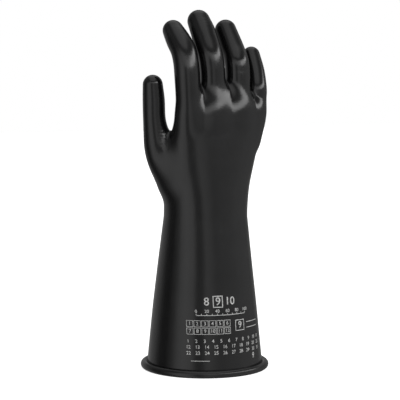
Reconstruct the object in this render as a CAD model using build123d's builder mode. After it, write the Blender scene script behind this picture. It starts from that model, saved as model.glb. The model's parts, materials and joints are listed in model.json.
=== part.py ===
"""A right-hand rubber gauntlet glove with a rolled rim, its stalls free to bend at every knuckle.

Units are millimetres. +Z runs from the rim to the fingertips, the back of the hand faces -Y,
the palm faces +Y and the thumb is on the -X side. The origin is the centre of the rim's underside.

The glove is one hollow skin. It is cut into rigid lengths at the lines where the rubber bends, and
the bow-tie ring of skin at each line (a "flex" piece) fills the gap there at rest. The gap is wide
enough for the lengths on either side of it to turn through the joint's whole range.
"""

import os
from math import cos, radians, sin, tan
from typing import NamedTuple

from build123d import *

# ---------------------------------------------------------------- skin
WALL = 1.0  # thickness of the dipped skin
HINGE_GAP = 0.6  # half the gap between two lengths of skin, measured at the hinge line
CUT_MARGIN = 8.0  # how far a cutting block reaches past the skin

# ---------------------------------------------------------------- rim and sleeve
CUFF_RADIUS = 56.0  # outside of the skin where it leaves the rim
RIM_TUBE_RADIUS = 3.7  # the roll's own section
RIM_FLAT = 0.3  # how much of the roll is flattened where it rests
SLEEVE_FOREARM_HEIGHT = 60.0
SLEEVE_FOREARM_RADII = (50.8, 50.6)
SLEEVE_UPPER_HEIGHT = 110.0
SLEEVE_UPPER_RADII = (45.1, 44.5)
SLEEVE_UPPER_CENTRE = (0.2, -0.3)

# ---------------------------------------------------------------- wrist and palm
WRIST_HEIGHT = 148.0  # the wrist's hinge line above the rim's underside
WRIST_RADII = (41.2, 38.0)
WRIST_CENTRE = (0.5, -1.0)


class Bend(NamedTuple):
    """A joint's range in degrees from rest: how far it opens backwards and how far it curls."""

    back: float
    curl: float


WRIST_BEND = Bend(35.0, 40.0)
PALM_BEND = Bend(15.0, 45.0)  # where the palm folds along the row of the hand's knuckles
FINGER_BENDS = (Bend(20.0, 60.0), Bend(12.0, 36.0))  # knuckle, tip
THUMB_BENDS = (Bend(15.0, 30.0), Bend(10.0, 45.0))  # base, tip
THUMB_CURL_HEADING = 60.0  # degrees from +X towards +Y: the way the thumb curls


class Section(NamedTuple):
    """An oval section of the palm: height above the wrist, centre, half width and half depth."""

    rise: float
    across: float
    depth: float
    half_width: float
    half_depth: float


PALM_SECTIONS = (
    Section(14.0, 0.3, -2.0, 41.4, 37.3),
    Section(32.0, 0.2, -4.3, 42.8, 35.2),
    Section(52.0, 2.5, -7.2, 45.3, 30.5),
    Section(75.0, 6.1, -11.2, 45.8, 24.2),
    Section(94.0, 9.2, -14.5, 45.3, 17.6),
    Section(108.0, 11.9, -14.6, 45.0, 14.6),
    Section(118.0, 13.6, -14.4, 43.0, 10.4),
)
PALM_FOLD_RISE = 96.0  # the palm's hinge line above the wrist's
PALM_FOLD_CENTRE = (9.4, -14.8)
PALM_FOLD_HALF_DEPTH = 17.0


# ---------------------------------------------------------------- stalls
class Length(NamedTuple):
    """One straight length of a stall: its length, its lean towards the palm and its splay to +X."""

    long: float
    lean: float
    splay: float


class Stall(NamedTuple):
    """A finger stall, placed by its lowest free hinge. Its sunk lengths run down into the palm."""

    across: float
    depth: float
    rise: float
    sunk: tuple  # from the lowest free hinge downwards
    free: tuple  # from the lowest free hinge to the centre of the fingertip's dome
    radii: tuple  # from the lowest sunk end up to the dome


FINGERS = {
    "index": Stall(
        -24.5, -10.7, 148.0,
        (Length(35.3, 6.8, 0.8), Length(23.0, 0.2, 1.2)),
        (Length(22.0, 27.0, -3.9), Length(16.5, 43.5, -12.5)),
        (11.8, 12.0, 12.6, 12.2, 10.1),
    ),
    "middle": Stall(
        1.65, -12.4, 149.0,
        (Length(32.1, 5.4, -0.1), Length(24.5, 8.3, 6.7)),
        (Length(25.0, 27.5, -3.6), Length(20.4, 34.0, -5.4)),
        (11.6, 11.9, 12.1, 12.2, 11.0),
    ),
    "ring": Stall(
        30.1, -10.5, 144.0,
        (Length(28.3, 7.1, 2.9), Length(24.4, 7.1, 8.1)),
        (Length(22.0, 27.0, 0.0), Length(19.8, 37.5, -6.5)),
        (11.8, 11.7, 11.6, 11.5, 10.5),
    ),
    "little": Stall(
        52.5, -8.4, 125.5,
        (Length(17.6, 3.3, 3.9), Length(16.4, 5.7, 10.6), Length(18.9, 1.6, 17.9)),
        (Length(17.5, 30.7, 9.1), Length(17.2, 31.6, 2.4)),
        (10.0, 10.2, 9.9, 9.7, 9.3, 8.6),
    ),
}

THUMB = Stall(
    -47.7, 8.6, 82.0,
    (Length(31.2, 5.0, -15.3), Length(17.3, 11.3, -28.4), Length(23.5, 11.3, -30.0)),
    (Length(25.1, 0.9, -4.3), Length(20.3, 0.0, -3.1)),
    (17.0, 18.0, 16.2, 12.0, 10.7, 9.6),
)

# ---------------------------------------------------------------- worked-out places
RIM_RADIUS = CUFF_RADIUS - WALL + RIM_TUBE_RADIUS  # centre circle of the roll, flush inside
RIM_CENTRE_HEIGHT = RIM_TUBE_RADIUS - RIM_FLAT
RIM_TOP = RIM_CENTRE_HEIGHT + RIM_TUBE_RADIUS
CUFF_BORE_RADIUS = CUFF_RADIUS - WALL
FINGER_AXIS = Vector(-1, 0, 0)
THUMB_AXIS = Vector(-sin(radians(THUMB_CURL_HEADING)), cos(radians(THUMB_CURL_HEADING)), 0)
WRIST_HINGE = Vector(*WRIST_CENTRE, WRIST_HEIGHT)
PALM_HINGE = Vector(*PALM_FOLD_CENTRE, WRIST_HEIGHT + PALM_FOLD_RISE)
UP = Vector(0, 0, 1)

SLEEVE_TUBE = (
    (RIM_TOP, 0.0, 0.0, CUFF_RADIUS, CUFF_RADIUS),
    (SLEEVE_FOREARM_HEIGHT, 0.0, 0.0, *SLEEVE_FOREARM_RADII),
    (SLEEVE_UPPER_HEIGHT, *SLEEVE_UPPER_CENTRE, *SLEEVE_UPPER_RADII),
    (WRIST_HEIGHT, *WRIST_CENTRE, *WRIST_RADII),
)
PALM_TUBE = SLEEVE_TUBE[-1:] + tuple((WRIST_HEIGHT + s.rise, *s[1:]) for s in PALM_SECTIONS)


def heading(length):
    """The direction a length runs in: up, leaning towards the palm and splayed towards +X."""
    return Vector(tan(radians(length.splay)), tan(radians(length.lean)), 1).normalized()


def stall_points(stall):
    """Centres along a stall, from its lowest sunk end to the centre of its dome."""
    points = [Vector(stall.across, stall.depth, WRIST_HEIGHT + stall.rise)]
    for length in stall.sunk:
        points.insert(0, points[0] - heading(length) * length.long)
    for length in stall.free:
        points.append(points[-1] + heading(length) * length.long)
    return points


def stall_body(stall, inset):
    """The solid within a stall's skin: inset is 0 for its outside and the wall for its cavity."""
    points = stall_points(stall)
    steps = [after - before for before, after in zip(points, points[1:])]
    tangents = [steps[0]] + [a.normalized() + b.normalized() for a, b in zip(steps, steps[1:])] + [steps[-1]]
    dome_radius = stall.radii[-1] - inset
    dome_side = Vector(0, 1, 0).cross(steps[-1]).normalized()
    with BuildPart() as body:
        for point, tangent, radius in zip(points, tangents, stall.radii):
            with BuildSketch(Plane(origin=point, z_dir=tangent)):
                Circle(radius - inset)
        loft()
        with BuildSketch(Plane(origin=points[-1], x_dir=dome_side, z_dir=dome_side.cross(steps[-1]))):
            with BuildLine():
                Line((0, 0), (dome_radius, 0))
                CenterArc((0, 0), dome_radius, 0, 90)
                Line((0, dome_radius), (0, 0))
            make_face()
        revolve(axis=Axis(points[-1], steps[-1]))
    return body.part


def tube(sections, inset):
    """A straight-sided tube through oval sections of (height, centre, half width, half depth)."""
    with BuildPart() as body:
        for height, across, depth, half_width, half_depth in sections:
            with BuildSketch(Plane(origin=(across, depth, height))):
                Ellipse(half_width - inset, half_depth - inset)
        loft(ruled=True)
    return body.part


def hinge_block(hinge, below, above, axis, bend, half_depth, half_width):
    """The bow-tie block that clears a hinge: it opens by half the bend's angle on each side.

    below and above are the directions of the lengths that meet at the hinge, and the upper one
    curls about the axis by the right-hand rule.
    """
    rise = below.normalized() + above.normalized()
    rise = (rise - axis * rise.dot(axis)).normalized()
    inward = axis.cross(rise)
    reach = half_depth + CUT_MARGIN
    fold = reach * tan(radians(bend.curl / 2)) + HINGE_GAP
    back = reach * tan(radians(bend.back / 2)) + HINGE_GAP
    with BuildPart() as block:
        with BuildSketch(Plane(origin=hinge, x_dir=inward, z_dir=inward.cross(rise))):
            with BuildLine():
                Polyline(
                    (-reach, -back), (0, -HINGE_GAP), (reach, -fold),
                    (reach, fold), (0, HINGE_GAP), (-reach, back), close=True,
                )
            make_face()
        extrude(amount=half_width + CUT_MARGIN, both=True)
    return block.part


def common(first, second):
    with BuildPart() as overlap:
        add(first)
        add(second, mode=Mode.INTERSECT)
    return overlap.part


def save(shape, name):
    shape.label = name
    export_step(shape, f"parts/{name}.step")


os.makedirs("parts", exist_ok=True)

# ---------------------------------------------------------------- rolled rim
with BuildPart() as rolled_rim:
    with BuildSketch(Plane.XZ):
        with Locations((RIM_RADIUS, RIM_CENTRE_HEIGHT)):
            Circle(RIM_TUBE_RADIUS)
        with Locations((CUFF_BORE_RADIUS, 0)):
            Rectangle(RIM_TUBE_RADIUS, RIM_TOP, align=(Align.MIN, Align.MIN))
        with Locations((RIM_RADIUS, 0)):
            below_rest = (Align.CENTER, Align.MAX)
            Rectangle(4 * RIM_TUBE_RADIUS, RIM_TUBE_RADIUS, align=below_rest, mode=Mode.SUBTRACT)
    revolve(axis=Axis.Z)
save(rolled_rim.part, "rolled_rim")

# ---------------------------------------------------------------- stalls
stall_roots = []  # the outside of each stall below its lowest free hinge, which joins the palm
stall_cavities = []


def make_stall(name, stall, axis, bends, length_names, flex_names):
    """Saves a stall's free lengths and the flex rings between them; keeps its root for the palm."""
    points = stall_points(stall)
    outside = stall_body(stall, 0)
    cavity = stall_body(stall, WALL)
    hinges = points[len(stall.sunk) : -1]
    blocks = []
    for place, (hinge, bend) in enumerate(zip(hinges, bends), start=len(stall.sunk)):
        below = hinge - points[place - 1]
        above = points[place + 1] - hinge
        radius = stall.radii[place]
        blocks.append(hinge_block(hinge, below, above, axis, bend, radius, radius))
    with BuildPart() as lengths:
        add(outside)
        for block in blocks:
            add(block, mode=Mode.SUBTRACT)
    pieces = lengths.solids().sort_by(Axis.Z)
    stall_roots.append(pieces[0])
    stall_cavities.append(cavity)
    for piece, length_name in zip(pieces[1:], length_names):
        with BuildPart() as length:
            add(piece)
            add(cavity, mode=Mode.SUBTRACT)
        save(length.part, f"{name}_{length_name}")
    with BuildPart() as skin:
        add(outside)
        add(cavity, mode=Mode.SUBTRACT)
    for block, flex_name in zip(blocks, flex_names):
        save(common(skin.part, block), f"{name}_{flex_name}")


for finger_name, finger in FINGERS.items():
    make_stall(
        finger_name, finger, FINGER_AXIS, FINGER_BENDS,
        ("middle", "fingertip"), ("knuckle_flex", "tip_flex"),
    )
make_stall("thumb", THUMB, THUMB_AXIS, THUMB_BENDS, ("proximal", "fingertip"), ("base_flex", "tip_flex"))

# ---------------------------------------------------------------- sleeve, wrist and palm
wrist_block = hinge_block(WRIST_HINGE, UP, UP, FINGER_AXIS, WRIST_BEND, *reversed(WRIST_RADII))
palm_half_width = max(section.half_width for section in PALM_SECTIONS)
palm_block = hinge_block(
    PALM_HINGE, UP, UP, FINGER_AXIS, PALM_BEND, PALM_FOLD_HALF_DEPTH, palm_half_width
)
palm_cavity = tube(PALM_TUBE[:-1] + ((PALM_TUBE[-1][0] - WALL, *PALM_TUBE[-1][1:]),), WALL)

with BuildPart() as sleeve_skin:
    add(tube(SLEEVE_TUBE, 0))
    add(tube(SLEEVE_TUBE, WALL), mode=Mode.SUBTRACT)

with BuildPart() as gauntlet_sleeve:
    add(sleeve_skin.part)
    add(wrist_block, mode=Mode.SUBTRACT)
save(gauntlet_sleeve.part, "gauntlet_sleeve")

with BuildPart() as hand_skin:
    add(tube(PALM_TUBE, 0))
    for root in stall_roots:
        add(root)
    add(palm_cavity, mode=Mode.SUBTRACT)
    for cavity in stall_cavities:
        add(cavity, mode=Mode.SUBTRACT)
save(common(hand_skin.part, palm_block), "hand_flex")

with BuildPart() as wrist_skin:
    add(sleeve_skin.part)
    add(tube(PALM_TUBE, 0))
    add(palm_cavity, mode=Mode.SUBTRACT)
save(common(wrist_skin.part, wrist_block), "wrist_flex")

with BuildPart() as hand_shells:
    add(hand_skin.part)
    add(wrist_block, mode=Mode.SUBTRACT)
    add(palm_block, mode=Mode.SUBTRACT)
palm_shell, finger_roots = hand_shells.solids().sort_by(Axis.Z)
save(palm_shell, "palm_shell")
save(finger_roots, "finger_roots")
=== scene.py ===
"""A glossy black dipped-rubber gauntlet glove, right hand, standing on its rolled rim."""

import json
import math
import random

import bmesh
import bpy
import numpy as np
import openvdb
from mathutils import Matrix, Vector


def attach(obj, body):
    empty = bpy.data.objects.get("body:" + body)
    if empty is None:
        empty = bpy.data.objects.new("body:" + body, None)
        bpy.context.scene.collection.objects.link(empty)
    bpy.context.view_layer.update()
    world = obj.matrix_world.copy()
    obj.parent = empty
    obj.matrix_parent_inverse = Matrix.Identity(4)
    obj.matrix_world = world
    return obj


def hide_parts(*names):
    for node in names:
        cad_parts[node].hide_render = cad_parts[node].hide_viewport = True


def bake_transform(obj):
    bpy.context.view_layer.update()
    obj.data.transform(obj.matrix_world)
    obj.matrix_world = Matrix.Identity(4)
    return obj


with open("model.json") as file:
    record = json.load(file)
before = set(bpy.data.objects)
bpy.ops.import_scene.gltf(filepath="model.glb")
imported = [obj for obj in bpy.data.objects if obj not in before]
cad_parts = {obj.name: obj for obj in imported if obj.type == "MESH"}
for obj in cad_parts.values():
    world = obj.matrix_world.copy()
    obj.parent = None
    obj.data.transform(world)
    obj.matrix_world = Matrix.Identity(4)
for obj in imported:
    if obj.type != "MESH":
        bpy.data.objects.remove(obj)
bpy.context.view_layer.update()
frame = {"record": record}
MM = 0.001

# ------------------------------------------------------------------ the skin's shape, in millimetres
WALL = 1.0
GRID = 1.5
SKIN_FOOT = 4.0  # where the skin runs into the rolled rim

# oval sections of sleeve, wrist and hand: height, centre x and y, half width, half depth
SECTIONS = np.array([
    (-10, 0, 0, 57.4, 57.4),
    (4, 0, 0, 56.2, 56.2),
    (60, 0, 0, 50.8, 50.6),
    (110, 0.2, -0.3, 45.1, 44.5),
    (148, 0.5, -1, 41.2, 38.0),
    (160, 0.3, -2, 41.3, 37.5),
    (178, 0.2, -4, 42.6, 35.6),
    (199, 2.4, -7, 45.2, 30.7),
    (222, 6.0, -11, 45.8, 24.4),
    (246, 9.9, -15, 44.9, 16.6),
    (300, 18, -10, 45.2, 14.0),
])
KNUCKLE_HEIGHT = 246.0  # where the palm starts to round over into the webs
WEB_RISE = 30.0

# centre lines of the stalls: x, y, z and radius
STALLS = {
    "index": [
        (-24.6, -15, 238, 11.0), (-24.6, -14.9, 261, 11.8), (-24.5, -12.7, 284, 12.3),
        (-24.6, -10.1, 297, 12.2), (-25.1, -5.5, 308, 12.2), (-27.0, 2.5, 318, 11.6), (-28.5, 10.5, 327, 10.1),
    ],
    "middle": [
        (-1.3, -19, 240, 11.4), (0.4, -17.8, 252, 11.6), (1.7, -15.5, 264, 11.8), (2.3, -13.6, 278, 12.1),
        (2.2, -12.4, 291, 12.1), (1.4, -9.3, 304, 12.0), (0.6, -2.3, 316, 12.1), (0.0, 3.5, 325.5, 12.0),
        (-1.2, 10.5, 336, 11.0),
    ],
    "ring": [
        (25.3, -17, 240, 11.4), (27.2, -16.0, 252, 11.6), (28.7, -14.0, 264, 11.7), (29.7, -12.3, 276, 12.0),
        (30.2, -11.0, 286, 12.0), (30.2, -8.6, 297, 11.8), (30.3, -0.5, 308, 11.5), (28.3, 11.5, 327.3, 10.5),
    ],
    "little": [
        (42.5, -11.5, 222, 9.6), (48.3, -11, 240, 10.0), (50.8, -9.8, 252, 9.9), (52.0, -8.8, 262, 9.8),
        (52.5, -8.4, 271, 9.7), (54.8, -0.2, 287, 9.3), (55.5, 9.5, 303, 8.6),
    ],
    "thumb": [
        (-31.4, 3, 185, 16.5), (-39.5, 6, 200, 15.6), (-45.8, 8, 216, 13.3), (-49, 9, 240, 10.9),
        (-49.8, 9, 261, 10.6), (-50.7, 9, 275.3, 9.6),
    ],
}
FINGERS = ("index", "middle", "ring", "little")
# how widely the skin rounds over where two parts of it meet
FINGER_WEB = 1.5
KNUCKLE_FILLET = 9.0
THUMB_FILLET = 13.0


def smooth_table(column):
    """The section table's column at every millimetre of height, rounded off along the hand and sleeve."""
    heights = np.arange(-10, 301, 0.5)
    raw = np.interp(heights, SECTIONS[:, 0], SECTIONS[:, column])
    out = raw.copy()
    wrist = (heights >= 138) & (heights < 156)  # kept crisp, because the wrist's crease is
    for sigma, keep in ((10.0, heights < 138), (1.5, wrist), (6.0, heights >= 156)):
        reach = int(sigma * 6)
        kernel = np.exp(-0.5 * (np.arange(-reach, reach + 1) * 0.5 / sigma) ** 2)
        soft = np.convolve(np.pad(raw, reach, mode="edge"), kernel / kernel.sum(), mode="valid")
        near = np.clip(np.abs(heights - 148.0) / (3 * sigma) if sigma > 2 else 1.0, 0, 1)
        mixed = raw * (1 - near) + soft * near
        out[keep] = mixed[keep]
    return heights, out


TABLES = [smooth_table(c) for c in (1, 2, 3, 4)]


def spline(points, steps=9):
    """A smooth line through the points: position and radius at each step."""
    p = np.array(points, float)
    p = np.vstack([2 * p[0] - p[1], p, 2 * p[-1] - p[-2]])
    out = []
    for i in range(1, len(p) - 2):
        for t in np.linspace(0, 1, steps, endpoint=False):
            a, b, c, d = p[i - 1], p[i], p[i + 1], p[i + 2]
            square, cube = 2 * a - 5 * b + 4 * c - d, 3 * b - a - 3 * c + d
            out.append(0.5 * (2 * b + (c - a) * t + square * t**2 + cube * t**3))
    out.append(p[-2])
    return np.array(out)


LINES = {name: spline(points) for name, points in STALLS.items()}


def stall_distance(points, name):
    """Distance from each point to a stall's surface, negative inside."""
    line = LINES[name]
    best = np.full(len(points), 1e9)
    for a, b in zip(line[:-1], line[1:]):
        d = b[:3] - a[:3]
        t = np.clip(((points - a[:3]) @ d) / (d @ d), 0, 1)
        gap = np.linalg.norm(points - a[:3] - t[:, None] * d, axis=1) - (a[3] + t * (b[3] - a[3]))
        best = np.minimum(best, gap)
    return best


def arm_distance(points):
    """Distance to the sleeve, wrist and palm, whose top rounds over into the webs between the fingers."""
    x, y, z = points.T
    cx, cy, a, b = (np.interp(z, *table) for table in TABLES)
    rise = WEB_RISE - 0.19 * np.clip(x - 10, 0, None)
    u, v = (x - cx) / a, (y - cy) / b
    w = np.clip(z - KNUCKLE_HEIGHT, 0, None) / rise
    size = np.sqrt(u**2 + v**2 + w**2) + 1e-9
    slope = np.sqrt((u / a) ** 2 + (v / b) ** 2 + (w / rise) ** 2) + 1e-9
    return size * (size - 1) / slope


def smooth_min(a, b, k):
    h = np.clip(k - np.abs(a - b), 0, None) / k
    return np.minimum(a, b) - h * h * k * 0.25


def parts_of(points):
    """Distances to the arm, the fingers as one, and the thumb."""
    arm = arm_distance(points)
    high = points[:, 2] > 195
    fingers = np.full((4, len(points)), 60.0)
    if high.any():
        for row, name in enumerate(FINGERS):
            fingers[row, high] = stall_distance(points[high], name)
    thumb = np.full(len(points), 60.0)
    near = (points[:, 0] < 0) & (points[:, 2] > 140)
    if near.any():
        thumb[near] = stall_distance(points[near], "thumb")
    return arm, fingers, thumb


def skin(points):
    """The outside of the whole skin: negative inside, about true distance near it."""
    arm, fingers, thumb = parts_of(points)
    together = fingers[0]
    for row in fingers[1:]:
        together = smooth_min(together, row, FINGER_WEB)
    body = smooth_min(arm, together, KNUCKLE_FILLET)
    return smooth_min(body, thumb, THUMB_FILLET)


def gradient(points):
    e = 0.35
    cols = []
    for axis in range(3):
        step = np.zeros(3)
        step[axis] = e
        cols.append(skin(points + step) - skin(points - step))
    g = np.stack(cols, axis=1) / (2 * e)
    return g


def settle(points, rounds=3):
    """Moves the points onto the skin and returns them with its normals."""
    for _ in range(rounds):
        g = gradient(points)
        size = (g**2).sum(axis=1) + 1e-9
        points = points - g * (skin(points) / size)[:, None]
    g = gradient(points)
    return points, g / np.linalg.norm(g, axis=1)[:, None]


def raw_surface():
    lo = np.array([-66.0, -66.0, -6.0])
    shape = (np.ceil((np.array([68.0, 66.0, 354.0]) - lo) / GRID)).astype(int) + 1
    axes = [lo[i] + GRID * np.arange(shape[i]) for i in range(3)]
    field = np.empty(shape, np.float32)
    plane = np.stack(np.meshgrid(axes[0], axes[1], indexing="ij"), axis=-1).reshape(-1, 2)
    for k, z in enumerate(axes[2]):
        points = np.column_stack([plane, np.full(len(plane), z)])
        field[:, :, k] = skin(points).reshape(shape[0], shape[1])
    grid = openvdb.FloatGrid(background=10.0)
    grid.copyFromArray(np.clip(field, -9, 9))
    points, quads = grid.convertToQuads(isovalue=0.0)
    return points.astype(float) * GRID + lo, np.asarray(quads, int)


# ------------------------------------------------------------------ pieces of skin
JOINTS = {joint["name"]: np.array(joint["pos_m"]) / MM for joint in frame["record"]["behaviour"]["joints"]}
GAUNTLET_TOP = 176.0  # the gauntlet's skin ends here, above the wrist's bend
WRIST_ZONE = (127.0, 169.0)
PALM_ZONE = (231.0, 259.0)
THUMB_WEB = np.array([-36.0, 9.0, 231.0])  # just above the bottom of the thumb's web
THUMB_UP = np.array([-0.3, 0.0, 0.954])
THUMB_BASE_ZONE = (0.5, 17.0)  # above the web, along THUMB_UP
THUMB_SPLIT = 249.0
THUMB_TIP_ZONE = (249.4, 264.5)
# how far below and above its hinge each finger's zone reaches, at the knuckle and at the last joint; the
# knuckle zone's lower end sets where the finger's piece is cut
KNUCKLE_ZONES = {"index": (-9.0, 9.5), "middle": (-9.0, 10.0), "ring": (-8.5, 9.5), "little": (-4.5, 8.0)}
TIP_ZONES = {"index": (-5.0, 6.0), "middle": (-6.0, 7.0), "ring": (-5.5, 6.0), "little": (-4.5, 5.0)}
TIP_SPLITS = {"index": 13.5, "middle": 15.0, "ring": 13.3, "little": 10.7}  # above the knuckle's hinge
ZONE_MARGIN = 1.2  # gap between the knuckle zone's lower end and the cut below it
PIECES = ["gauntlet", "palm", "thumb", "thumb_tip"] + [f + end for f in FINGERS for end in ("", "_tip")]


def direction_at(name, place):
    """The way a stall's centre line runs where it passes a hinge."""
    line = LINES[name][:, :3]
    near = int(np.argmin(np.linalg.norm(line - place, axis=1)))
    way = line[min(near + 3, len(line) - 1)] - line[max(near - 3, 0)]
    return way / np.linalg.norm(way)


def label_faces(centres):
    """The piece that each face of the skin belongs to, as a place in PIECES."""
    arm, fingers, thumb = parts_of(centres)
    label = np.where(centres[:, 2] < GAUNTLET_TOP, PIECES.index("gauntlet"), PIECES.index("palm"))
    on_thumb = ((centres - THUMB_WEB) @ THUMB_UP > 0) & (thumb < np.minimum(arm, fingers.min(axis=0)))
    label[on_thumb] = PIECES.index("thumb")
    label[on_thumb & (centres[:, 2] > THUMB_SPLIT)] = PIECES.index("thumb_tip")
    nearest = fingers.argmin(axis=0)
    for row, finger in enumerate(FINGERS):
        knuckle = JOINTS[f"{finger}_knuckle_bend"]
        along = (centres - knuckle) @ direction_at(finger, knuckle)
        mine = (nearest == row) & ~on_thumb
        label[mine & (along > KNUCKLE_ZONES[finger][0] - ZONE_MARGIN)] = PIECES.index(finger)
        label[mine & (along > TIP_SPLITS[finger])] = PIECES.index(finger + "_tip")
    return label


def shell(name, points, normals, quads):
    """A closed piece of skin: its outside, the same faces one wall further in, and strips joining them."""
    used, flat = np.unique(quads, return_inverse=True)
    quads = flat.reshape(-1, 4)
    count = len(used)
    outside, out_normals = points[used], normals[used]
    edges = np.stack([quads, np.roll(quads, -1, axis=1)], axis=-1).reshape(-1, 2)
    seen = {tuple(edge) for edge in edges}
    rim = np.array([(b, a, a + count, b + count) for a, b in edges if (b, a) not in seen])
    mesh = bpy.data.meshes.new(name)
    place = np.vstack([outside, outside - out_normals * WALL])
    faces = np.vstack([quads, quads[:, ::-1] + count, rim])
    mesh.from_pydata((place * MM).tolist(), [], faces.tolist())
    mesh.shade_smooth()
    mesh.normals_split_custom_set_from_vertices(np.vstack([out_normals, -out_normals]).tolist())
    rest = mesh.attributes.new("rest_place", "FLOAT_VECTOR", "POINT")
    rest.data.foreach_set("vector", (place * MM).astype(np.float32).ravel())
    piece = bpy.data.objects.new(name, mesh)
    bpy.context.collection.objects.link(piece)
    mesh.materials.append(RUBBER)
    return piece


def bend(piece, lower, upper, start, end):
    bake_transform(piece)


def make_skin():
    """Every piece of the skin, cut apart near its joints."""
    points, quads = raw_surface()
    points, normals = settle(points)
    span = points[quads]
    face_normals = np.cross(span[:, 2] - span[:, 0], span[:, 3] - span[:, 1])
    if (face_normals * normals[quads[:, 0]]).sum() < 0:
        quads = quads[:, ::-1]
    centres = span.mean(axis=1)
    quads, centres = quads[centres[:, 2] > SKIN_FOOT], centres[centres[:, 2] > SKIN_FOOT]
    foot = np.unique(quads[(points[quads][:, :, 2].min(axis=1) < SKIN_FOOT + GRID)])
    low = foot[points[foot, 2] < SKIN_FOOT + GRID / 2]
    points[low, 2] = SKIN_FOOT
    label = label_faces(centres)
    pieces = {}
    for number, name in enumerate(PIECES):
        pieces[name] = shell(f"{name}_skin", points, normals, quads[label == number])

    up = np.array([0.0, 0.0, 1.0])
    bend(pieces["gauntlet"], "gauntlet", "hand", up * WRIST_ZONE[0], up * WRIST_ZONE[1])
    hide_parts("gauntlet_sleeve", "wrist_flex")
    bend(pieces["palm"], "hand", "knuckles", up * PALM_ZONE[0], up * PALM_ZONE[1])
    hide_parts("palm_shell", "hand_flex", "finger_roots")
    base = [THUMB_WEB + THUMB_UP * reach for reach in THUMB_BASE_ZONE]
    bend(pieces["thumb"], "hand", "thumb_proximal", *base)
    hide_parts("thumb_base_flex", "thumb_proximal")
    bend(pieces["thumb_tip"], "thumb_proximal", "thumb_tip", up * THUMB_TIP_ZONE[0], up * THUMB_TIP_ZONE[1])
    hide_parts("thumb_tip_flex", "thumb_fingertip")
    for finger in FINGERS:
        for piece, joint, zone, bodies, nodes in (
            (finger, "knuckle", KNUCKLE_ZONES, ("knuckles", f"{finger}_middle"), ("knuckle_flex", "middle")),
            (
                finger + "_tip", "tip", TIP_ZONES,
                (f"{finger}_middle", f"{finger}_tip"), ("tip_flex", "fingertip"),
            ),
        ):
            hinge = JOINTS[f"{finger}_{joint}_bend"]
            way = direction_at(finger, hinge)
            start, end = (hinge + way * reach for reach in zone[finger])
            bend(pieces[piece], *bodies, start, end)
            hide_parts(*(f"{finger}_{node}" for node in nodes))


# ------------------------------------------------------------------ rolled rim
RIM_RADIUS = 58.7
RIM_HEIGHT = 3.4
RIM_TUBE = 3.7
ROLL_EDGE = math.radians(205)  # where the rolled-up edge of the sheet lies, round the roll's section
ROLL_STEP = 0.35


def wander(angle, seed, waves=5):
    """A slow, closed ripple round the rim, between about -1 and 1."""
    rng = random.Random(seed)
    return sum(
        rng.uniform(0.3, 1.0) / waves * 1.6 * math.sin(k * angle + rng.uniform(0, math.tau))
        for k in range(2, 2 + waves)
    )


def make_rim(around=360, across=40):
    """The roll at the cuff: a round bead, flat where it rests, with the sheet's edge showing inside."""
    verts = []
    for i in range(around):
        turn = math.tau * i / around
        swell = 1 + 0.02 * wander(turn, 3)
        lean = 0.12 * wander(turn, 8)
        for j in range(across):
            section = math.tau * j / across
            tube = RIM_TUBE * swell
            past_edge = (section - ROLL_EDGE) % math.tau
            tube -= ROLL_STEP * math.exp(-past_edge / 0.35)
            radius = RIM_RADIUS + tube * math.cos(section) + lean * math.sin(section)
            height = max(RIM_HEIGHT + tube * math.sin(section), 0.0)
            radius = max(radius, RIM_RADIUS - RIM_TUBE)
            verts.append((radius * math.sin(turn) * MM, -radius * math.cos(turn) * MM, height * MM))
    faces = [
        (
            i * across + j,
            ((i + 1) % around) * across + j,
            ((i + 1) % around) * across + (j + 1) % across,
            i * across + (j + 1) % across,
        )
        for i in range(around)
        for j in range(across)
    ]
    mesh = bpy.data.meshes.new("rolled_rim_bead")
    mesh.from_pydata(verts, [], faces)
    mesh.shade_smooth()
    rest = mesh.attributes.new("rest_place", "FLOAT_VECTOR", "POINT")
    rest.data.foreach_set("vector", [c for v in verts for c in v])
    mesh.materials.append(ROLL)
    rim = bpy.data.objects.new("rolled_rim_bead", mesh)
    bpy.context.collection.objects.link(rim)
    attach(rim, "gauntlet")
    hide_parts("rolled_rim")


# ------------------------------------------------------------------ white print
INK_LIFT = 0.09  # how far the ink stands off the skin, and how far it sinks in
INK_SINK = 0.06
INK_STEP = 1.2  # the print is cut into strips this wide, so that it follows the round cuff


def on_sleeve(across, height, lift):
    """The point on the sleeve that lies a distance round from the back of the hand, off the skin by lift."""
    cx, cy, a, b = (float(np.interp(height, *table)) for table in TABLES)
    turn = across / ((a + b) / 2)
    nx, ny = math.sin(turn) / a, -math.cos(turn) / b
    size = math.hypot(nx, ny)
    return (
        (cx + a * math.sin(turn) + lift * nx / size) * MM,
        (cy - b * math.cos(turn) + lift * ny / size) * MM,
        height * MM,
    )


def add_box(bm, left, right, bottom, top):
    places = ((left, bottom), (right, bottom), (right, top), (left, top))
    bm.faces.new([bm.verts.new((x, y, 0)) for x, y in places])


def add_frame(bm, left, right, bottom, top, line):
    """An outlined box of four strips."""
    add_box(bm, left, right, bottom, bottom + line)
    add_box(bm, left, right, top - line, top)
    add_box(bm, left, left + line, bottom + line, top - line)
    add_box(bm, right - line, right, bottom + line, top - line)


def add_number(bm, text, across, height, size, weight=0.0):
    """Plain numerals centred on a place on the print."""
    curve = bpy.data.curves.new("numerals", "FONT")
    curve.body = text
    curve.size = size / 0.7
    curve.offset = weight
    curve.resolution_u = 4
    curve.align_x = "CENTER"
    curve.align_y = "CENTER"
    holder = bpy.data.objects.new("numerals", curve)
    bpy.context.collection.objects.link(holder)
    mesh = bpy.data.meshes.new_from_object(holder.evaluated_get(bpy.context.evaluated_depsgraph_get()))
    mesh.transform(Matrix.Translation((across, height, 0)))
    bm.from_mesh(mesh)
    bpy.data.objects.remove(holder)
    bpy.data.curves.remove(curve)
    bpy.data.meshes.remove(mesh)


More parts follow.
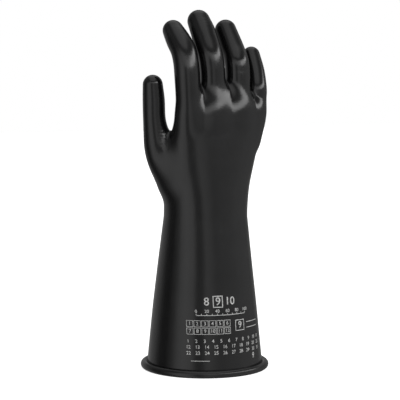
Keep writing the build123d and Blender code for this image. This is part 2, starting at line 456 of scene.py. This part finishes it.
def make_print(name, draw):
    """Draws flat shapes in mm, cuts them in strips, wraps them round the sleeve and thickens them."""
    bm = bmesh.new()
    draw(bm)
    bmesh.ops.remove_doubles(bm, verts=bm.verts, dist=0.002)
    reach = [v.co.x for v in bm.verts]
    cut = math.ceil(min(reach) / INK_STEP) * INK_STEP
    while cut < max(reach):
        parts = bm.verts[:] + bm.edges[:] + bm.faces[:]
        bmesh.ops.bisect_plane(bm, geom=parts, plane_co=(cut, 0, 0), plane_no=(1, 0, 0))
        cut += INK_STEP
    for face in bm.faces:
        if face.normal.z < 0:
            face.normal_flip()
    top = list(bm.faces)
    for vert in bm.verts:
        vert.co.z = INK_LIFT
    lower = bmesh.ops.duplicate(bm, geom=top)
    base = [g for g in lower["geom"] if isinstance(g, bmesh.types.BMFace)]
    for vert in {v for face in base for v in face.verts}:
        vert.co.z = -INK_SINK
    partner = lower["vert_map"]
    for face in base:
        face.normal_flip()
    for edge in [e for face in top for e in face.edges if len(e.link_faces) == 1]:
        loop = edge.link_loops[0]
        a, b = loop.vert, loop.link_loop_next.vert
        bm.faces.new((b, a, partner[a], partner[b]))
    mesh = bpy.data.meshes.new(name)
    bm.to_mesh(mesh)
    bm.free()
    for vert in mesh.vertices:
        vert.co = on_sleeve(*vert.co)
    mesh.materials.append(INK)
    piece = bpy.data.objects.new(name, mesh)
    bpy.context.collection.objects.link(piece)
    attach(piece, "gauntlet")


def size_row(bm):
    """Three glove sizes in large numerals, this one boxed."""
    for across, number in ((-20.6, "8"), (-9.6, "9"), (2.6, "10")):
        add_number(bm, number, across, 71.2, 7.4, 0.10)
    add_frame(bm, -14.6, -4.8, 65.6, 76.8, 0.8)


def scale_line(bm):
    """A fine ruled line with a tick at each step and a number at every other one."""
    left, step = -31.0, 5.1
    add_box(bm, left, left + 10 * step, 58.2, 58.75)
    for tick in range(11):
        across = left + step * tick
        add_box(bm, across - 0.25, across + 0.25, 58.75, 60.1)
        if tick % 2 == 0:
            add_number(bm, str(10 * tick), across, 62.3, 3.0, 0.04)


def month_grid(bm):
    """Two rows of six boxes, numbered 1 to 12, to mark a month in."""
    for number in range(12):
        left = -41.0 + 7.3 * (number % 6)
        bottom = 47.6 - 7.0 * (number // 6)
        add_frame(bm, left, left + 6.6, bottom, bottom + 6.2, 0.38)
        add_number(bm, str(number + 1), left + 3.3, bottom + 3.1, 3.3, 0.04)


def size_box(bm):
    """The size once more, in a box beside the months."""
    add_number(bm, "9", 13.0, 47.8, 6.4, 0.08)
    add_frame(bm, 7.6, 18.4, 42.6, 53.0, 0.6)
    for row in range(2):
        add_box(bm, 21.5, 41.0, 44.2 + 5.2 * row, 44.8 + 5.2 * row)


def day_rows(bm):
    """The days 1 to 31 in three rows of small numbers, and a short blank line."""
    for row, (first, last) in enumerate(((1, 11), (12, 21), (22, 31))):
        for place, day in enumerate(range(first, last + 1)):
            gap = 80.0 / (last - first)
            add_number(bm, str(day), -40.0 + gap * place, 34.2 - 5.6 * row, 3.2, 0.04)
    add_box(bm, -38.0, -20.0, 15.4, 15.9)


def size_numeral(bm):
    add_number(bm, "9", 30.5, 16.6, 5.2, 0.08)


# ------------------------------------------------------------------ materials
class Nodes:
    """A short way to add and join a material's nodes."""

    def __init__(self, tree):
        self.tree = tree

    def add(self, kind, settings=None, **inputs):
        node = self.tree.nodes.new(kind)
        for key, value in (settings or {}).items():
            setattr(node, key, value)
        for key, value in inputs.items():
            label = key.replace("_", " ")
            slot = node.inputs[label] if label in node.inputs else node.inputs[int(key[1:])]
            if isinstance(value, bpy.types.NodeSocket):
                self.tree.links.new(value, slot)
            else:
                slot.default_value = value
        return node.outputs

    def ramp(self, fac, stops, mode="LINEAR"):
        node = self.tree.nodes.new("ShaderNodeValToRGB")
        ramp = node.color_ramp
        ramp.interpolation = mode
        while len(ramp.elements) < len(stops):
            ramp.elements.new(0.5)
        for element, (place, value) in zip(ramp.elements, stops):
            element.position = place
            element.color = (*value, 1) if isinstance(value, tuple) else (value, value, value, 1)
        self.tree.links.new(fac, node.inputs["Fac"])
        return node.outputs["Color"]

    def math(self, operation, *values):
        inputs = {f"i{k}": v for k, v in enumerate(values)}
        return self.add("ShaderNodeMath", {"operation": operation}, **inputs)[0]


def new_material(name):
    material = bpy.data.materials.new(name)
    material.use_nodes = True
    material.node_tree.nodes.clear()
    return material, Nodes(material.node_tree)


def rubber(name, roughness, ripple):
    """Glossy dipped rubber: near black, faintly mottled and dusty, with slow ripples and a fine peel."""
    material, n = new_material(name)
    place = n.add("ShaderNodeAttribute", {"attribute_name": "rest_place"})["Vector"]
    mottle = n.add("ShaderNodeTexNoise", Vector=place, Scale=55.0, Detail=3.0, Roughness=0.55)["Fac"]
    dust = n.add("ShaderNodeTexNoise", Vector=place, Scale=2300.0, Detail=2.0, Roughness=0.6)["Fac"]
    smear = n.add(
        "ShaderNodeTexNoise", Vector=place, Scale=140.0, Detail=4.0, Roughness=0.6, Distortion=0.6
    )["Fac"]
    peel = n.add("ShaderNodeTexNoise", Vector=place, Scale=520.0, Detail=2.0, Roughness=0.5)["Fac"]
    wave = n.add("ShaderNodeTexNoise", Vector=place, Scale=42.0, Detail=1.5, Roughness=0.4)["Fac"]
    specks = n.ramp(dust, [(0.0, 0.0), (0.70, 0.0), (0.80, 1.0)])
    tone = n.ramp(mottle, [(0.3, (0.0036, 0.0036, 0.0038)), (0.7, (0.0066, 0.0066, 0.0069))])
    colour = n.add(
        "ShaderNodeMix", {"data_type": "RGBA"},
        i0=n.math("MULTIPLY", specks, 0.10), i6=tone, i7=(0.11, 0.11, 0.108, 1),
    )[2]
    film = n.math("MULTIPLY_ADD", smear, 0.16, roughness - 0.08)
    finish = n.math("MULTIPLY_ADD", specks, 0.12, film)
    slow = n.add("ShaderNodeBump", Height=wave, Strength=ripple, Distance=0.004)["Normal"]
    bumps = n.add("ShaderNodeBump", Height=peel, Strength=0.10, Distance=0.0004, Normal=slow)["Normal"]
    shader = n.add("ShaderNodeBsdfPrincipled", Base_Color=colour, Roughness=finish, Normal=bumps)
    material.node_tree.nodes["Principled BSDF"].inputs["IOR"].default_value = 1.5
    n.add("ShaderNodeOutputMaterial", Surface=shader["BSDF"])
    return material


def ink():
    """White stamping ink, slightly uneven."""
    material, n = new_material("white_print")
    place = n.add("ShaderNodeTexCoord")["Object"]
    patchy = n.add("ShaderNodeTexNoise", Vector=place, Scale=900.0, Detail=3.0, Roughness=0.6)["Fac"]
    tones = [(0.30, (0.34, 0.34, 0.34)), (0.52, (0.66, 0.66, 0.65)), (0.7, (0.78, 0.78, 0.77))]
    colour = n.ramp(patchy, tones)
    grain = n.add("ShaderNodeBump", Height=patchy, Strength=0.2, Distance=0.00005)["Normal"]
    shader = n.add("ShaderNodeBsdfPrincipled", Base_Color=colour, Roughness=0.55, Normal=grain)
    n.add("ShaderNodeOutputMaterial", Surface=shader["BSDF"])
    return material


# ------------------------------------------------------------------ studio
CAMERA_AZIMUTH = -26.0
CAMERA_ELEVATION = 5.0
CAMERA_DISTANCE = 1.6
CAMERA_TARGET = Vector((0, 0, 0.176))
CAMERA_LENS = 148.6  # on a 36 mm sensor
CAMERA_SHIFT = (-0.0115, -0.0325)

# light from level with the glove: brightness by degrees round it from the camera's side, + to the right
ROUND_LIGHT = [
    (-180, 0.30), (-124, 0.30), (-103, 0.10), (-86, 0.10), (-70, 0.36), (-57, 0.84), (-44, 1.0), (-26, 0.86),
    (-16, 0.30), (-5, 0.32), (5, 0.72), (15, 0.66), (29, 0.46), (44, 0.50), (88, 0.54), (109, 0.42),
    (136, 0.20), (180, 0.22),
]
# a bright band above that, by heading too, the dim gap over it, and overhead, by how far left or right
BAND_LIGHT = [
    (-180, 0.15), (-62, 0.2), (-36, 0.9), (0, 1.4), (26, 2.2), (46, 4.4), (100, 4.4), (118, 0.5), (180, 0.2),
]
BAND_HEIGHTS = (18.5, 22.5, 28.0, 35.0)  # degrees above level where it begins, is full, fades and ends
GAP_LIGHT = 0.24
TOP_HEIGHTS = (40.0, 52.0)
TOP_LIGHT = [(-1.0, 0.12), (-0.62, 0.16), (-0.30, 0.80), (0.30, 0.95), (0.62, 0.22), (1.0, 0.15)]
BRIGHTEST = 5.0


def backdrop_rays(n):
    """1 for what the camera sees, 0 for light and for what the black gloss shows, which is the soft boxes."""
    return n.add("ShaderNodeLightPath")["Is Camera Ray"]


def studio_light():
    """Soft boxes round the glove, as brightness by heading and height, and white behind for the camera."""
    world = bpy.data.worlds.new("studio")
    bpy.context.scene.world = world
    world.use_nodes = True
    world.node_tree.nodes.clear()
    n = Nodes(world.node_tree)
    ray = n.add("ShaderNodeTexCoord")["Generated"]
    x, y, z = n.add("ShaderNodeSeparateXYZ", Vector=ray)[:3]
    turn = math.radians(CAMERA_AZIMUTH)
    heading = n.math("ARCTAN2", x, n.math("MULTIPLY", y, -1.0))
    turned = n.math("MULTIPLY_ADD", heading, 1 / math.tau, 0.5 - CAMERA_AZIMUTH / 360)
    share = n.math("FRACT", turned)
    height = n.math("MULTIPLY", n.math("ARCSINE", z), 180 / math.pi)

    right = n.math("MULTIPLY_ADD", x, math.cos(turn), n.math("MULTIPLY", y, math.sin(turn)))
    level = n.ramp(share, [(degrees / 360 + 0.5, value / BRIGHTEST) for degrees, value in ROUND_LIGHT])
    band = n.ramp(share, [(degrees / 360 + 0.5, value / BRIGHTEST) for degrees, value in BAND_LIGHT])
    across = n.math("MULTIPLY_ADD", right, 0.5, 0.5)
    top = n.ramp(across, [(place / 2 + 0.5, value / BRIGHTEST) for place, value in TOP_LIGHT])

    def fade(start, full):
        smooth = {"interpolation_type": "SMOOTHSTEP"}
        return n.add("ShaderNodeMapRange", smooth, Value=height, From_Min=start, From_Max=full)[0]

    def mixed(fac, lower, upper):
        return n.add("ShaderNodeMix", {"data_type": "RGBA"}, i0=fac, i6=lower, i7=upper)[2]

    whole = mixed(fade(*BAND_HEIGHTS[:2]), level, band)
    whole = mixed(fade(*BAND_HEIGHTS[2:]), whole, (GAP_LIGHT / BRIGHTEST,) * 3 + (1,))
    whole = mixed(fade(*TOP_HEIGHTS), whole, top)
    light = n.add("ShaderNodeBackground", Color=whole, Strength=BRIGHTEST)["Background"]
    white = n.add("ShaderNodeBackground", Color=(1, 1, 1, 1), Strength=1.0)["Background"]
    both = n.add("ShaderNodeMixShader", Fac=backdrop_rays(n), i1=light, i2=white)["Shader"]
    n.add("ShaderNodeOutputWorld", Surface=both)


def make_floor():
    """A plain pale floor that shows white to the camera apart from the glove's soft shadow."""
    material, n = new_material("pale_floor")
    paint = n.add("ShaderNodeBsdfDiffuse", Color=(0.8, 0.8, 0.8, 1))["BSDF"]
    glow = n.add("ShaderNodeEmission", Color=(1, 1, 1, 1), Strength=0.86)["Emission"]
    lit = n.add("ShaderNodeAddShader", i0=paint, i1=glow)["Shader"]
    seen = n.add("ShaderNodeMixShader", Fac=backdrop_rays(n), i1=paint, i2=lit)["Shader"]
    n.add("ShaderNodeOutputMaterial", Surface=seen)
    reach = 4.0
    mesh = bpy.data.meshes.new("floor")
    corners = [(-reach, -reach, 0), (reach, -reach, 0), (reach, reach, 0), (-reach, reach, 0)]
    mesh.from_pydata(corners, [], [(0, 1, 2, 3)])
    mesh.materials.append(material)
    floor = bpy.data.objects.new("floor", mesh)
    bpy.context.collection.objects.link(floor)
    floor.visible_glossy = False  # the glove hung clear of any floor that its gloss could show


def make_camera():
    data = bpy.data.cameras.new("camera")
    data.sensor_width = 36.0
    data.lens = CAMERA_LENS
    data.shift_x, data.shift_y = CAMERA_SHIFT
    camera = bpy.data.objects.new("camera", data)
    bpy.context.collection.objects.link(camera)
    turn, rise = math.radians(CAMERA_AZIMUTH), math.radians(CAMERA_ELEVATION)
    back = Vector((math.sin(turn) * math.cos(rise), -math.cos(turn) * math.cos(rise), math.sin(rise)))
    camera.location = CAMERA_TARGET + back * CAMERA_DISTANCE
    camera.rotation_euler = (-back).to_track_quat("-Z", "Y").to_euler()
    bpy.context.scene.camera = camera


RUBBER = rubber("black_dipped_rubber", 0.16, 0.06)
ROLL = rubber("black_rolled_rubber", 0.22, 0.12)
INK = ink()

make_skin()
make_rim()
for print_name, drawing in (
    ("print_size_row", size_row),
    ("print_scale_line", scale_line),
    ("print_month_grid", month_grid),
    ("print_size_box", size_box),
    ("print_day_rows", day_rows),
    ("print_size_numeral", size_numeral),
):
    make_print(print_name, drawing)
studio_light()
make_floor()
make_camera()
bpy.context.scene.view_settings.view_transform = "Standard"
